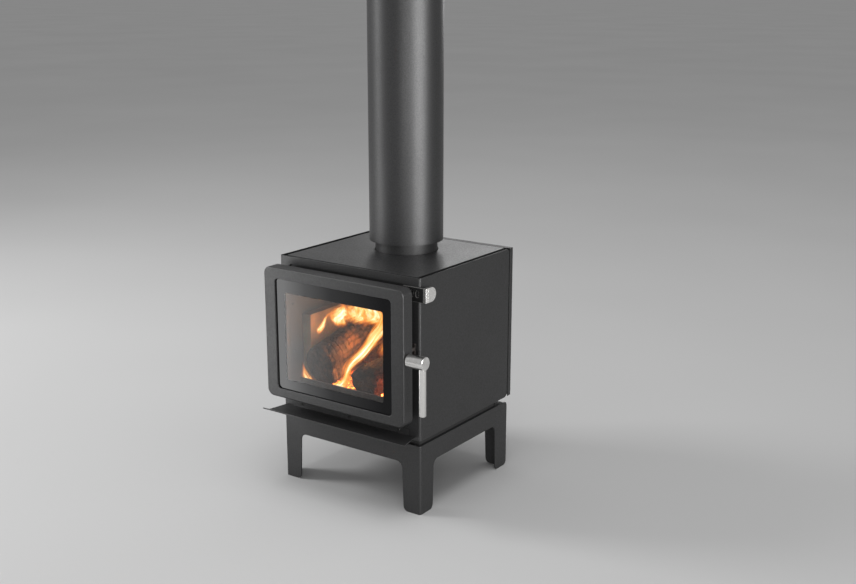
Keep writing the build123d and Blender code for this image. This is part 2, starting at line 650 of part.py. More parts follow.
# ---- hinges -------------------------------------------------------------------------------
def hinges():
    lugs, pins, washers, knuckles = [], [], [], []
    for bottom in LUG_BOTTOMS:
        top = bottom + LUG_THICK
        lug = round_z(HINGE_X, HINGE_Y, (bottom, top), KNUCKLE_R)
        outline = Polyline(
            (HINGE_X - 5.5, HINGE_Y + 4.3), (HINGE_X + 2, HINGE_Y - 6.7), (-186, FRONT - 10),
            (-184, FRONT), (-197, FRONT), close=True)
        lug += Pos(0, 0, bottom) * extrude(make_face(outline), LUG_THICK)
        lug += block((-197, -183), (FRONT - 3, FRONT), (bottom - 12, top + 12))
        lug -= round_z(HINGE_X, HINGE_Y, (bottom - 1, top + 1), PIN_R)
        lugs.append(lug)
        pins.append(round_z(HINGE_X, HINGE_Y, (bottom, top + WASHER + KNUCKLE_H + 3), PIN_R))
        washers.append(tube_z(HINGE_X, HINGE_Y, (top, top + WASHER), 6.5, PIN_R + RUNNING))
        z = (top + WASHER + GAP / 10, top + WASHER + KNUCKLE_H)
        knuckle = round_z(HINGE_X, HINGE_Y, z, KNUCKLE_R)
        knuckle += block((HINGE_X - 5, HINGE_X + 12), (DOOR_BACK, HINGE_Y - 4), z)
        knuckle -= round_z(HINGE_X, HINGE_Y, (z[0] - 1, z[1] + 1), PIN_R + RUNNING)
        knuckles.append(knuckle)
    save("hinge_lugs", *lugs)
    save("hinge_pins", *pins)
    save("hinge_washers", *washers)
    save("hinge_knuckles", *knuckles)


# ---- handle -------------------------------------------------------------------------------
def handle():
    sleeve = round_x((CAM_X[1] + GAP, DOOR_HALF), SPINDLE_Y, SPINDLE_Z, BUSH_R)
    sleeve += round_x((DOOR_HALF, DOOR_HALF + BUSH_FLANGE), SPINDLE_Y, SPINDLE_Z, BUSH_FLANGE_R)
    sleeve -= round_x((CAM_X[0], DOOR_HALF + 5), SPINDLE_Y, SPINDLE_Z, SHAFT_R + RUNNING)
    save("handle_bush", sleeve)

    barrel_x = (DOOR_HALF + BUSH_FLANGE + GAP, BARREL_END)
    barrel = round_x(barrel_x, SPINDLE_Y, SPINDLE_Z, BARREL_R)
    barrel = chamfer(barrel.edges().filter_by(GeomType.CIRCLE), 1.2)
    shaft = round_x((CAM_X[0], barrel_x[0] + 16), SPINDLE_Y, SPINDLE_Z, SHAFT_R)
    cam_pin = round_z((CAM_X[0] + CAM_X[1]) / 2, SPINDLE_Y, (SPINDLE_Z - 10.9, SPINDLE_Z + 10.9), 2)
    save("handle_shaft", shaft - cam_pin)

    rod = round_z(ROD_X, SPINDLE_Y, (ROD_BOTTOM, SPINDLE_Z - 8), ROD_R)
    rod = fillet(rod.edges().group_by(Axis.Z)[0], 3.5)
    spigot = round_z(ROD_X, SPINDLE_Y, (SPINDLE_Z - 17, SPINDLE_Z - 6), 4)
    save("handle_rod", rod - round_x(barrel_x, SPINDLE_Y, SPINDLE_Z, BARREL_R) + spigot)
    save("handle_barrel", barrel - shaft - spigot)

    hub = round_x(CAM_X, SPINDLE_Y, SPINDLE_Z, CAM_HUB_R)
    arm = block(CAM_X, (SPINDLE_Y, SPINDLE_Y + CAM_REACH), (SPINDLE_Z - 5, SPINDLE_Z + 7))
    arm = fillet(arm.edges().filter_by(Axis.X).group_by(Axis.Y)[-1], 4)
    cam = hub + arm - round_x(CAM_X, SPINDLE_Y, SPINDLE_Z, SHAFT_R) - cam_pin
    save("latch_cam", cam)
    save("latch_cam_pin", cam_pin)

    plate = block((182.5, 197.5), (FRONT - 3, FRONT), (SPINDLE_Z - 20, SPINDLE_Z + 26))
    nose = block((190, 197.5), (FRONT - 15.5, FRONT), (SPINDLE_Z + 10, SPINDLE_Z + 17))
    screws = []
    for z in KEEPER_SCREW_Z:
        plate -= round_y(KEEPER_SCREW_X, (FRONT - 5, FRONT + 1), z, 2.2)
        screws.append(facing(KEEPER_SCREW_X, FRONT - 3, z, "-y") * screw(3.4, 2.0, 1.9, 5))
    save("latch_keeper", plate + nose)
    save("latch_keeper_screws", *screws)


# ---- air control --------------------------------------------------------------------------
def air_slide():
    y = (SLIDE_Y, SLIDE_Y + SLIDE_SHEET)
    plate = block(SLIDE_X, y, SLIDE_Z)
    fold = block((SLIDE_X[1] - SLIDE_SHEET, SLIDE_X[1]), (SLIDE_Y, -165), (SLIDE_Z[0] + 3, SLIDE_Z[1] - 3))
    plate += fold
    for i in range(2):
        plate -= upright(slot(PORT_W, PORT_H, PORT_X + i * PORT_PITCH, PORT_Z), (y[0] - 1, y[1] + 1))
    guides = []
    for z in GUIDE_Z:
        wide = 2 * (GUIDE_R + GUIDE_PLAY)
        run = Pos(GUIDE_X + SLIDE_TRAVEL / 2, z) * SlotOverall(SLIDE_TRAVEL + wide, wide)
        plate -= upright(run, (y[0] - 1, y[1] + 1))
        guide = facing(GUIDE_X, SLIDE_Y - GUIDE_PLAY, z, "-y") * screw(4.2, 2.0, GUIDE_R, SLIDE_SHEET + 1)
        guides.append(guide + round_y(GUIDE_X, (y[1], BOX_FRONT + FIREBOX_PLATE), z, GUIDE_HOLE_R))
    rivets = []
    for z in (SLIDE_Z[0] + 10, SLIDE_Z[1] - 10):
        rivet = round_x((SLIDE_X[1] - SLIDE_SHEET, SLIDE_X[1] + 4), -174, z, 2.5)
        rivets.append(rivet)
        plate -= rivet
    middle = (SLIDE_Z[0] + SLIDE_Z[1]) / 2
    half = (SLIDE_Z[1] - SLIDE_Z[0]) / 2
    straight = KNOB_REAR - half - SLIDE_Y
    outline = Pos(SLIDE_Y + straight / 2, middle) * Rectangle(straight, 2 * half)
    outline += Pos(KNOB_REAR - half, middle) * Circle(half)
    knob = sideways(outline, (SLIDE_X[1], SLIDE_X[1] + KNOB_THICK))
    knob = chamfer(knob.faces().sort_by(Axis.X)[-1].edges(), 0.8)
    groove_x = SLIDE_X[1] + KNOB_THICK
    knob -= block((groove_x - 1, groove_x + 1), (SLIDE_Y + 5, SLIDE_Y + 8.5), (SLIDE_Z[0] - 1, SLIDE_Z[1] + 1))
    for rivet in rivets:
        knob -= rivet
    save("air_slide", plate)
    save("air_knob", knob)
    save("air_knob_rivets", *rivets)
    save("air_guide_screws", *guides)


def build():
    os.makedirs("parts", exist_ok=True)
    base_frame()
    base_rear_brace()
    plinth()
    casing_wrap()
    casing_floor()
    top_plate()
    top_rails()
    rear_cover()
    rear_fixings()
    firebox_shell()
    firebox_front()
    firebox_feet()
    firebricks()
    baffle()
    air_tube()
    airwash_plate()
    log_retainer()
    logs()
    flue()
    ash_shelf()
    door_frame()
    door_glazing()
    hinges()
    handle()
    air_slide()


build()
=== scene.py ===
import json
from math import pi, radians

import bmesh
import bpy
import numpy as np
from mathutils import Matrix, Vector


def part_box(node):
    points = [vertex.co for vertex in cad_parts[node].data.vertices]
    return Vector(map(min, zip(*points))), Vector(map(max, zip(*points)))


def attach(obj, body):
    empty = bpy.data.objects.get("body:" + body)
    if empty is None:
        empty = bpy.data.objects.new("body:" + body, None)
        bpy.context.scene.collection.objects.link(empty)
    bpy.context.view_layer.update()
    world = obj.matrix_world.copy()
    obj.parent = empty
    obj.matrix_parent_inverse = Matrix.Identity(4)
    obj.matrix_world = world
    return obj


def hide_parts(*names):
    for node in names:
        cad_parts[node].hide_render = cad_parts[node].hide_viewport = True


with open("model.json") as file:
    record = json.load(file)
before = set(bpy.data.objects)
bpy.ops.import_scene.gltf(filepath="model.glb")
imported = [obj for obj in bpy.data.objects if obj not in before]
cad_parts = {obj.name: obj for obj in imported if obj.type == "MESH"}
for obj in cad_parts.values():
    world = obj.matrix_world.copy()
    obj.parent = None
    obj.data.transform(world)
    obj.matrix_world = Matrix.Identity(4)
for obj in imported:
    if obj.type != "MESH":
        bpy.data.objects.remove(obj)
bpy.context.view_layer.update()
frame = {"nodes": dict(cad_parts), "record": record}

# ---- places read from the frame, in metres ------------------------------------------------
glass_low, glass_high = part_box("door_glass")
casing_low, casing_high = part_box("casing_wrap")
floor_low, floor_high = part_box("firebrick_floor")
barrel_low, barrel_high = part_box("handle_barrel")
barrel_middle = (barrel_low + barrel_high) / 2
stove_x = (casing_low.x + casing_high.x) / 2
front_y = casing_low.y

# ---- driving sizes, in metres and degrees unless a comment says otherwise -----------------
PRINT_SIDE = 0.0305            # widths of the glass's printed border
PRINT_BOTTOM = 0.030
PRINT_TOP = 0.0368
PRINT_CORNER = 0.006
SOOT_START = 0.11              # height over the firebox floor where soot starts on the bricks

ROUND = 150                    # points round a log
CAP_RINGS = 14                 # rings of points on a log's end face
LOG_STEP = 0.0013              # between rows of points along a log
BLOCK = 0.0150                 # size of a block of char along the grain
BLOCK_SQUAT = 0.8              # the same across the grain, as a share
CRACK_SHARE = 0.2              # width of a crack, as a share of a block
CRACK_DEPTH = 0.0032
GRAIN_HEIGHT = 0.0007          # of the uneven wood between the cracks
END_BULGE = 0.004              # how far a log's end face stands out in its middle
END_CRACK_DEPTH = 0.002
END_WEAR = 0.006               # length over which a log's side thins towards its end face
LOG_BEND = 0.006
LOG_FLATS = ((0.88, 0.3), (0.84, 2.3))   # each split face's share of the radius, and its direction
WELD = 0.00002                 # points closer than this are one

FLAME_STEPS = 44               # rows of points up a flame
FLAME_ACROSS = 12              # faces across it
FLAME_SWAY = 0.12              # side to side, as a share of its width
FLAME_CURL = 0.35              # how far its edges bend outwards, as a share of its half width
WISP_WIDER = 1.25              # the thin sheet in front of each flame
WISP_RIGHT = 0.003
WISP_FORWARD = 0.006

EMBER_SIDE = 0.25
EMBER_POINTS = 150             # along each side of the bed
EMBER_LUMPS = 19
EMBER_HEIGHT = 0.0068
EMBER_CRACK_DEPTH = 0.0035
EMBER_ROUGHNESS = 0.0012
EMBER_CLEARANCE = 0.0003       # kept over the firebrick
EMBER_RIM = 0.12               # share of the bed over which its rim rises
EMBER_BACK = 0.035             # from the firebrick's front to the bed
EMBER_LIFT = 0.0004            # added to the relief
EMBER_WOBBLE = 0.005

CARD_LOW = (-0.75, -0.36, 0.05)    # corners of the mirrored card, given as at() takes them
CARD_HIGH = (-0.05, -0.36, 0.60)
FLOOR_RADIUS = 400.0
FLOOR_SEGMENTS = 96
SKY = 0.38                     # strength of the even light from all round

LENS = 50.0                    # in millimetres
CAMERA_BACK = Vector((1.7182, -2.2604, 1.2263))   # from the stove's middle on the floor
CAMERA_PITCH = 14.74           # down from level
CAMERA_YAW = 35.306            # left of straight at the stove's front
CAMERA_REACH = 1000            # past the floor's edge

STOVE_BLACK = (0.022, 0.022, 0.0225)
# painted shade: the plinth, recessed under the body, is painted darker than the stove's own black
PLINTH_BLACK_AND_PAINTED_SHADE = (0.006, 0.006, 0.006)
FLUE_BLACK = (0.030, 0.030, 0.031)
SLIDE_BLACK = (0.012, 0.012, 0.012)
BARE_STEEL = (0.42, 0.41, 0.40)
ROD_STEEL = (0.90, 0.89, 0.87)
BARREL_STEEL = (0.92, 0.91, 0.89)
KNOB_STEEL = (0.88, 0.87, 0.85)
FIRE_ORANGE = (1.0, 0.42, 0.12)
FIRE_RED = (1.0, 0.2, 0.05)


# ---- materials ----------------------------------------------------------------------------
class Graph:
    """A material's nodes, with short calls for the few kinds that this scene uses.

    A value given to a call is a number, a colour or another node's output."""

    def __init__(self, name):
        self.material = bpy.data.materials.new(name)
        self.material.use_nodes = True
        self.nodes = self.material.node_tree.nodes
        self.links = self.material.node_tree.links
        self.shader = self.nodes["Principled BSDF"]
        self.place = self.nodes.new("ShaderNodeTexCoord").outputs["Object"]

    def feed(self, socket, value):
        """Links another node's output to a socket, or sets the socket's own value."""
        if isinstance(value, bpy.types.NodeSocket):
            self.links.new(value, socket)
        elif socket.type == "RGBA" and len(value) == 3:
            socket.default_value = (*value, 1.0)
        else:
            socket.default_value = value

    def add(self, kind, inputs, **settings):
        node = self.nodes.new("ShaderNode" + kind)
        for key, value in settings.items():
            setattr(node, key, value)
        for key, value in inputs.items():
            self.feed(node.inputs[key], value)
        return node

    def set(self, **inputs):
        """Feeds the shader's sockets, named with underscores for spaces."""
        for key, value in inputs.items():
            self.feed(self.shader.inputs[key.replace("_", " ")], value)

    def stretch(self, scale, turn=(0, 0, 0), place=None, shift=(0, 0, 0)):
        inputs = {"Vector": place or self.place, "Scale": scale, "Rotation": turn, "Location": shift}
        return self.add("Mapping", inputs).outputs["Vector"]

    def noise(self, scale, detail=4.0, rough=0.55, place=None):
        inputs = {"Vector": place or self.place, "Scale": scale, "Detail": detail, "Roughness": rough}
        return self.add("TexNoise", inputs).outputs["Fac"]

    def cells(self, scale, feature="F1", place=None, output="Distance"):
        node = self.add("TexVoronoi", {"Vector": place or self.place, "Scale": scale}, feature=feature)
        return node.outputs[output]

    def ramp(self, value, *stops):
        """A value turned into greys or colours, from stops of (position, grey or colour)."""
        node = self.add("ValToRGB", {"Fac": value})
        marks = node.color_ramp.elements
        while len(marks) < len(stops):
            marks.new(0.5)
        for mark, (position, colour) in zip(marks, stops):
            mark.position = position
            if not hasattr(colour, "__len__"):
                colour = (colour, colour, colour)
            mark.color = (*colour, 1.0)
        return node.outputs["Color"]

    def mix(self, share, first, second, blend="MIX"):
        node = self.add("Mix", {}, data_type="RGBA", blend_type=blend)
        sockets = (node.inputs[0], node.inputs[6], node.inputs[7])   # factor, first and second colour
        for socket, value in zip(sockets, (share, first, second)):
            self.feed(socket, value)
        return node.outputs[2]

    def math(self, operation, first, second=0.0, third=0.0):
        node = self.add("Math", {}, operation=operation)
        for socket, value in zip(node.inputs, (first, second, third)):
            self.feed(socket, value)
        return node.outputs[0]

    def axis(self, name, place=None):
        return self.add("SeparateXYZ", {"Vector": place or self.place}).outputs[name]

    def bump(self, height, strength, depth, under=None):
        """Surface relief, laid over the relief given by under."""
        inputs = {"Height": height, "Strength": strength, "Distance": depth}
        if under is not None:
            inputs["Normal"] = under
        return self.add("Bump", inputs).outputs["Normal"]

    def soft_edges(self, radius):
        return self.add("Bevel", {"Radius": radius}, samples=4).outputs["Normal"]


def heat_paint(name, tone, rough, grain=900.0, edge=0.0007, worn=0.0):
    """Matt heat-resistant spray paint: fine orange peel and a cloudy sheen. Edge is how far corners
    are rounded off in the shading, and worn is how bare the sharp ones are."""
    g = Graph(name)
    cloud = g.noise(5.0, 3.0)
    peel = g.noise(grain, 2.0, 0.6)
    specks = g.cells(grain * 0.45)
    mottle = g.noise(grain * 0.3, 3.0, 0.7)
    dark = [c * 0.6 for c in tone]
    light = [c * 1.5 for c in tone]
    share = g.math("MULTIPLY_ADD", mottle, 0.75, g.math("MULTIPLY", cloud, 0.25))
    colour = g.mix(g.ramp(share, (0.35, 0.0), (0.65, 1.0)), dark, light)
    colour = g.mix(g.ramp(specks, (0.0, 0.45), (0.3, 0.0)), colour, [c * 2.4 for c in tone])
    rounded = g.soft_edges(edge)
    if worn:
        flat = g.add("NewGeometry", {}).outputs["Normal"]
        facing = g.add("VectorMath", {0: flat, 1: rounded}, operation="DOT_PRODUCT").outputs["Value"]
        bare = g.ramp(g.math("SUBTRACT", 1.0, facing), (0.01, 0.0), (0.06, worn))
        colour = g.mix(bare, colour, BARE_STEEL)
    g.set(Base_Color=colour)
    g.set(Roughness=g.ramp(share, (0.35, rough + 0.07), (0.65, rough - 0.07)))
    g.set(Normal=g.bump(mottle, 0.25, 0.0005, g.bump(peel, 0.30, 0.0002, rounded)))
    return g.material


def brushed(name, along, tint, rough):
    """Steel brushed in one direction: along is the pattern's scale on each axis, small along the marks."""
    g = Graph(name)
    streaks = g.noise(1.0, 5.0, 0.7, g.stretch(along))
    fine = g.noise(2.7, 3.0, 0.7, g.stretch(along))
    g.set(Base_Color=g.ramp(streaks, (0.3, [c * 0.80 for c in tint]), (0.7, tint)))
    g.set(Metallic=1.0, Anisotropic=0.55)
    g.set(Roughness=g.ramp(fine, (0.3, rough - 0.05), (0.72, rough + 0.09)))
    g.set(Normal=g.bump(streaks, 0.25, 0.0001, g.soft_edges(0.0006)))
    return g.material


def turned(name, y, z, tint):
    """The handle barrel: brushed round its own axis at y and z, with rings on its flat end."""
    g = Graph(name)
    centred = g.stretch((1, 1, 1), shift=(0, -y, -z))
    across = g.axis("Y", centred)
    up = g.axis("Z", centred)
    squares = g.math("MULTIPLY_ADD", across, across, g.math("MULTIPLY", up, up))
    radius = g.math("SQRT", squares)
    lengthwise = g.axis("X", centred)
    rings = g.add("CombineXYZ", {"X": lengthwise, "Y": radius}).outputs["Vector"]
    lines = g.noise(1.0, 4.0, 0.7, g.stretch((1600, 2600, 1), (0, 0, 0), rings))
    tangent = g.add("Tangent", {}, direction_type="RADIAL", axis="X").outputs["Tangent"]
    g.set(Base_Color=g.ramp(lines, (0.3, [c * 0.8 for c in tint]), (0.7, tint)))
    g.set(Metallic=1.0, Anisotropic=0.7, Tangent=tangent)
    g.set(Roughness=g.ramp(lines, (0.3, 0.15), (0.7, 0.26)))
    g.set(Normal=g.bump(lines, 0.2, 0.0001, g.soft_edges(0.0006)))
    return g.material


def mill_steel():
    """Uncoated steel inside the stove, blued and smoked by heat."""
    g = Graph("mill_steel")
    cloud = g.noise(14.0, 5.0)
    scale = g.noise(160.0, 4.0)
    tones = ((0.25, (0.035, 0.034, 0.036)), (0.5, (0.13, 0.11, 0.10)), (0.8, (0.22, 0.20, 0.19)))
    g.set(Base_Color=g.ramp(cloud, *tones), Metallic=0.85)
    g.set(Roughness=g.ramp(scale, (0.2, 0.38), (0.8, 0.62)))
    g.set(Normal=g.bump(scale, 0.2, 0.0003, g.soft_edges(0.0006)))
    return g.material


def sooted_liner():
    """The flue's inner pipe, dull with patches of soot."""
    g = Graph("sooted_liner")
    soot = g.noise(30.0, 5.0)
    g.set(Base_Color=g.ramp(soot, (0.3, (0.012, 0.011, 0.010)), (0.8, (0.06, 0.055, 0.05))), Metallic=0.4)
    g.set(Roughness=g.ramp(soot, (0.3, 0.85), (0.8, 0.55)))
    g.set(Normal=g.bump(g.noise(400.0), 0.3, 0.0004))
    return g.material


def brass():
    """Dull brass, worn unevenly."""
    g = Graph("brass")
    wear = g.noise(500.0, 3.0)
    g.set(Base_Color=g.ramp(wear, (0.3, (0.38, 0.25, 0.09)), (0.7, (0.62, 0.45, 0.2))), Metallic=1.0)
    g.set(Roughness=g.ramp(wear, (0.3, 0.28), (0.7, 0.45)))
    return g.material


def black_oxide():
    """Blackened screws, rubbed brighter in spots."""
    g = Graph("black_oxide")
    wear = g.noise(900.0, 3.0)
    g.set(Base_Color=g.ramp(wear, (0.35, (0.02, 0.02, 0.021)), (0.75, (0.09, 0.088, 0.085))), Metallic=0.8)
    g.set(Roughness=g.ramp(wear, (0.3, 0.32), (0.7, 0.5)))
    g.set(Normal=g.soft_edges(0.0004))
    return g.material


def woven_rope():
    """Knitted glass fibre, dark with smoke: a diagonal weave with loose fibres."""
    g = Graph("woven_rope")
    rows = []
    for turn in (radians(38), radians(-38)):
        slanted = g.stretch((1, 1, 1), (0, turn, 0))
        wave = g.add("TexWave", {"Vector": slanted, "Scale": 130.0, "Distortion": 0.6})
        rows.append(wave.outputs["Fac"])
    weave = g.math("MAXIMUM", rows[0], rows[1])
    fibre = g.noise(1800.0, 3.0)
    worn = g.mix(g.ramp(fibre, (0.3, 0.0), (0.75, 0.6)), (0.055, 0.050, 0.045), (0.16, 0.15, 0.135))
    g.set(Base_Color=g.mix(g.ramp(weave, (0.2, 0.8), (0.8, 0.0)), worn, (0.025, 0.022, 0.020)))
    g.set(Roughness=0.95)
    g.set(Normal=g.bump(weave, 0.8, 0.0008, g.bump(fibre, 0.4, 0.0002)))
    return g.material


def firebrick():
    """Pressed vermiculite board: tan and gold flakes, pits, and soot that thickens upwards."""
    g = Graph("firebrick")
    flakes = g.cells(420.0, output="Color")
    grain = g.noise(600.0, 5.0, 0.7)
    patch = g.noise(22.0, 4.0)
    tan = g.mix(g.ramp(grain, (0.3, 0.0), (0.7, 1.0)), (0.25, 0.165, 0.095), (0.42, 0.30, 0.18))
    tan = g.mix(0.25, tan, flakes, "OVERLAY")
    height = g.math("SUBTRACT", g.axis("Z"), floor_high.z + SOOT_START)
    smoke = g.math("MULTIPLY_ADD", height, 6.0, g.math("MULTIPLY", patch, 0.7))
    soot = g.ramp(smoke, (0.45, 0.0), (1.0, 0.75))
    g.set(Base_Color=g.mix(soot, tan, (0.045, 0.036, 0.03)))
    g.set(Roughness=0.93)
    pits = g.ramp(g.cells(230.0), (0.0, 0.0), (0.22, 1.0))
    g.set(Normal=g.bump(pits, 0.35, 0.0006, g.bump(grain, 0.5, 0.0004, g.soft_edges(0.0015))))
    return g.material


def stove_glass():
    """Clear ceramic glass with a printed black border round the window."""
    g = Graph("stove_glass")
    middle = (glass_low + glass_high) / 2
    side = (glass_high.x - glass_low.x) / 2 - PRINT_SIDE
    low = glass_low.z + PRINT_BOTTOM
    high = glass_high.z - PRINT_TOP
    from_middle = g.math("ABSOLUTE", g.math("SUBTRACT", g.axis("X"), middle.x))
    from_height = g.math("ABSOLUTE", g.math("SUBTRACT", g.axis("Z"), (low + high) / 2))
    past_side = g.math("MAXIMUM", g.math("SUBTRACT", from_middle, side - PRINT_CORNER), 0.0)
    past_top = g.math("MAXIMUM", g.math("SUBTRACT", from_height, (high - low) / 2 - PRINT_CORNER), 0.0)
    squares = g.math("MULTIPLY_ADD", past_side, past_side, g.math("MULTIPLY", past_top, past_top))
    inside = g.math("LESS_THAN", g.math("SQRT", squares), PRINT_CORNER)
    smudge = g.noise(9.0, 3.0)
    g.set(Base_Color=g.mix(inside, (0.006, 0.006, 0.007), (0.97, 0.96, 0.94)))
    g.set(Transmission_Weight=inside, IOR=1.5)
    g.set(Roughness=g.ramp(smudge, (0.3, 0.02), (0.8, 0.06)))
    return g.material


def charred_wood():
    """Alligator char: blocks that carry painted firelight, brighter towards the fire, parted by black cracks
    whose rims glow. Crack and the heat-and-firelight number are read at the log's points; that number scales
    both the rims' own glow and the painted firelight."""
    g = Graph("charred_wood")
    crack = g.add("Attribute", {}, attribute_name="crack").outputs["Fac"]
    heat = g.add("Attribute", {}, attribute_name="heat").outputs["Fac"]
    fibre = g.noise(260.0, 5.0, 0.7)
    patch = g.noise(45.0, 4.0)
    char = g.mix(g.ramp(patch, (0.35, 0.0), (0.65, 1.0)), (0.012, 0.009, 0.007), (0.080, 0.034, 0.016))
    char = g.mix(g.ramp(fibre, (0.5, 0.0), (0.8, 0.4)), char, (0.13, 0.08, 0.05))
    g.set(Base_Color=g.mix(crack, char, (0.004, 0.003, 0.003)))
    g.set(Roughness=0.85)
    rim = g.ramp(crack, (0.0, 0.0), (0.30, 0.8), (0.6, 0.15), (1.0, 0.0))
    lively = g.ramp(g.noise(60.0, 4.0), (0.50, 0.0), (0.70, 1.0))
    glow = g.math("MULTIPLY", g.math("MULTIPLY", rim, lively), heat)
    # painted firelight: the blocks between the cracks emit as if lit by the flames, more in the brighter
    # patches and along the fibres; the rims' glow above is the char's own
    painted_firelight_share = g.math("MULTIPLY", g.math("SUBTRACT", 1.0, crack), g.ramp(patch, (0.32, 0.18), (0.68, 0.85)))
    grain = g.math("MULTIPLY", painted_firelight_share, g.ramp(fibre, (0.3, 0.35), (0.75, 1.3)))
    total = g.math("MULTIPLY_ADD", grain, heat, glow)
    stops = ((0.0, (0.0, 0.0, 0.0)), (0.12, (0.16, 0.022, 0.004)), (0.35, (0.55, 0.10, 0.015)),
             (0.7, (1.0, 0.24, 0.03)), (1.0, (1.0, 0.55, 0.16)))
    g.set(Emission_Color=g.ramp(total, *stops), Emission_Strength=4.5)
    g.set(Normal=g.bump(fibre, 0.6, 0.0006))
    return g.material


def ember_material():
    """Grey ash over embers that glow in the cracks between the lumps."""
    g = Graph("embers")
    crack = g.add("Attribute", {}, attribute_name="crack").outputs["Fac"]
    ash = g.noise(160.0, 5.0, 0.7)
    g.set(Base_Color=g.ramp(ash, (0.3, (0.02, 0.015, 0.013)), (0.75, (0.26, 0.23, 0.21))), Roughness=0.95)
    lively = g.math("MULTIPLY", crack, g.ramp(g.noise(36.0, 3.0), (0.35, 0.1), (0.65, 1.0)))
    stops = ((0.05, (0.0, 0.0, 0.0)), (0.3, (0.5, 0.05, 0.004)),
             (0.65, (1.0, 0.3, 0.04)), (1.0, (1.0, 0.75, 0.3)))
    g.set(Emission_Color=g.ramp(lively, *stops), Emission_Strength=8.0)
    g.set(Normal=g.bump(ash, 0.7, 0.001))
    return g.material


def flame_material():
    """Flame sheets: white-yellow in the middle and low down, orange and torn at the edges and tips."""
    g = Graph("flame")
    sheet = g.add("UVMap", {}, uv_map="flame").outputs["UV"]
    across = g.math("ABSOLUTE", g.math("MULTIPLY_ADD", g.axis("X", sheet), 2.0, -1.0))
    along = g.axis("Y", sheet)
    lot = g.add("Attribute", {}, attribute_name="lot").outputs["Fac"]
    flow = g.add("CombineXYZ", {"X": g.axis("X", sheet), "Y": along, "Z": lot}).outputs["Vector"]
    tear = g.noise(1.0, 3.0, 0.6, g.stretch((2.2, 2.6, 1.0), place=flow))
    wisp = g.noise(1.0, 4.0, 0.65, g.stretch((9.0, 2.2, 1.0), place=flow))
    ragged = g.math("MULTIPLY_ADD", tear, 1.5, g.math("MULTIPLY_ADD", wisp, 1.9, -1.55))
    body = g.math("SUBTRACT", g.math("SUBTRACT", 1.0, g.math("POWER", across, 1.6)), ragged)
    fade = g.ramp(along, (0.0, 0.0), (0.30, 1.0), (0.7, 0.85), (1.0, 0.0))
    strength = g.math("MULTIPLY", body, fade)
    stops = ((0.0, (0.45, 0.05, 0.005)), (0.35, (0.9, 0.22, 0.02)), (0.6, (1.0, 0.42, 0.07)),
             (0.85, (1.0, 0.74, 0.34)), (1.0, (1.0, 0.93, 0.72)))
    g.set(Base_Color=(0.0, 0.0, 0.0), Roughness=1.0, Specular_IOR_Level=0.0)
    g.set(Emission_Color=g.ramp(strength, *stops), Emission_Strength=1.7)
    g.set(Alpha=g.ramp(strength, (0.10, 0.0), (0.42, 0.30), (0.85, 0.85)))
    return g.material


rod_streaks = (2600, 2600, 30)
knob_streaks = (60, 60, 2600)
slot_materials = {
    "stove_paint": heat_paint("stove_paint", STOVE_BLACK, 0.46, edge=0.0011),
    # painted shade: the recessed plinth gets a darker black than the rest of the stove
    "plinth_paint": heat_paint("plinth_paint", PLINTH_BLACK_AND_PAINTED_SHADE, 0.7),
    "flue_paint": heat_paint("flue_paint", FLUE_BLACK, 0.40, grain=1100.0),
    "flue_liner": sooted_liner(),
    "bare_steel": mill_steel(),
    "air_slide_paint": heat_paint("air_slide_paint", SLIDE_BLACK, 0.34, edge=0.0014, worn=1.0),
    "brushed_stainless": brushed("brushed_rod", rod_streaks, ROD_STEEL, 0.19),
    "brass_washer": brass(),
    "black_screws": black_oxide(),
    "ceramic_glass": stove_glass(),
    "woven_seal": woven_rope(),
    "firebrick": firebrick(),
    "charred_log": charred_wood(),
}
node_materials = {
    "top_plate": heat_paint("top_plate_paint", STOVE_BLACK, 0.37, edge=0.0011),
    "handle_barrel": turned("turned_barrel", *barrel_middle.yz, BARREL_STEEL),
    "air_knob": brushed("brushed_knob", knob_streaks, KNOB_STEEL, 0.26),
}
flame_sheet = flame_material()
ember_glow = ember_material()


def paint_nodes():
    """Every CAD node gets its record slot's material, or one of its own."""
    slots = {part["node"]: part["material_slot"] for part in frame["record"]["subparts"]}
    for name, node in frame["nodes"].items():
        material = node_materials.get(name) or slot_materials.get(slots[name])
        if material is not None:
            for material_slot in node.material_slots:
                material_slot.material = material


# ---- meshes -------------------------------------------------------------------------------
def add_object(name, data):
    thing = bpy.data.objects.new(name, data)
    bpy.context.scene.collection.objects.link(thing)
    return thing


def make_piece(name, points, faces, material, body):
    mesh = bpy.data.meshes.new(name)
    mesh.from_pydata([tuple(p) for p in points], [], faces)
    mesh.polygons.foreach_set("use_smooth", [True] * len(mesh.polygons))
    mesh.materials.append(material)
    piece = add_object(name, mesh)
    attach(piece, body)
    return piece


def grid_faces(rows, columns, closed=False):
    """Four-cornered faces between rows of points. Closed joins each row's ends."""
    faces = []
    for i in range(rows - 1):
        for j in range(columns if closed else columns - 1):
            k = (j + 1) % columns
            faces.append((i * columns + j, i * columns + k, (i + 1) * columns + k, (i + 1) * columns + j))
    return faces


def attribute(piece, name, values):
    """A number at each point of a piece, for its material to read."""
    layer = piece.data.attributes.new(name, "FLOAT", "POINT")
    layer.data.foreach_set("value", np.asarray(values, np.float32).ravel())


def scatter(cells, salt):
    """A repeatable pair of numbers from 0 to 1 for each whole-numbered cell."""
    mixed = np.sin(cells[..., 0] * 127.1 + cells[..., 1] * 311.7 + salt * 74.7) * 43758.5453
    other = np.sin(cells[..., 0] * 269.5 + cells[..., 1] * 183.3 + salt * 31.3) * 28001.8384
    return np.stack([mixed - np.floor(mixed), other - np.floor(other)], -1)


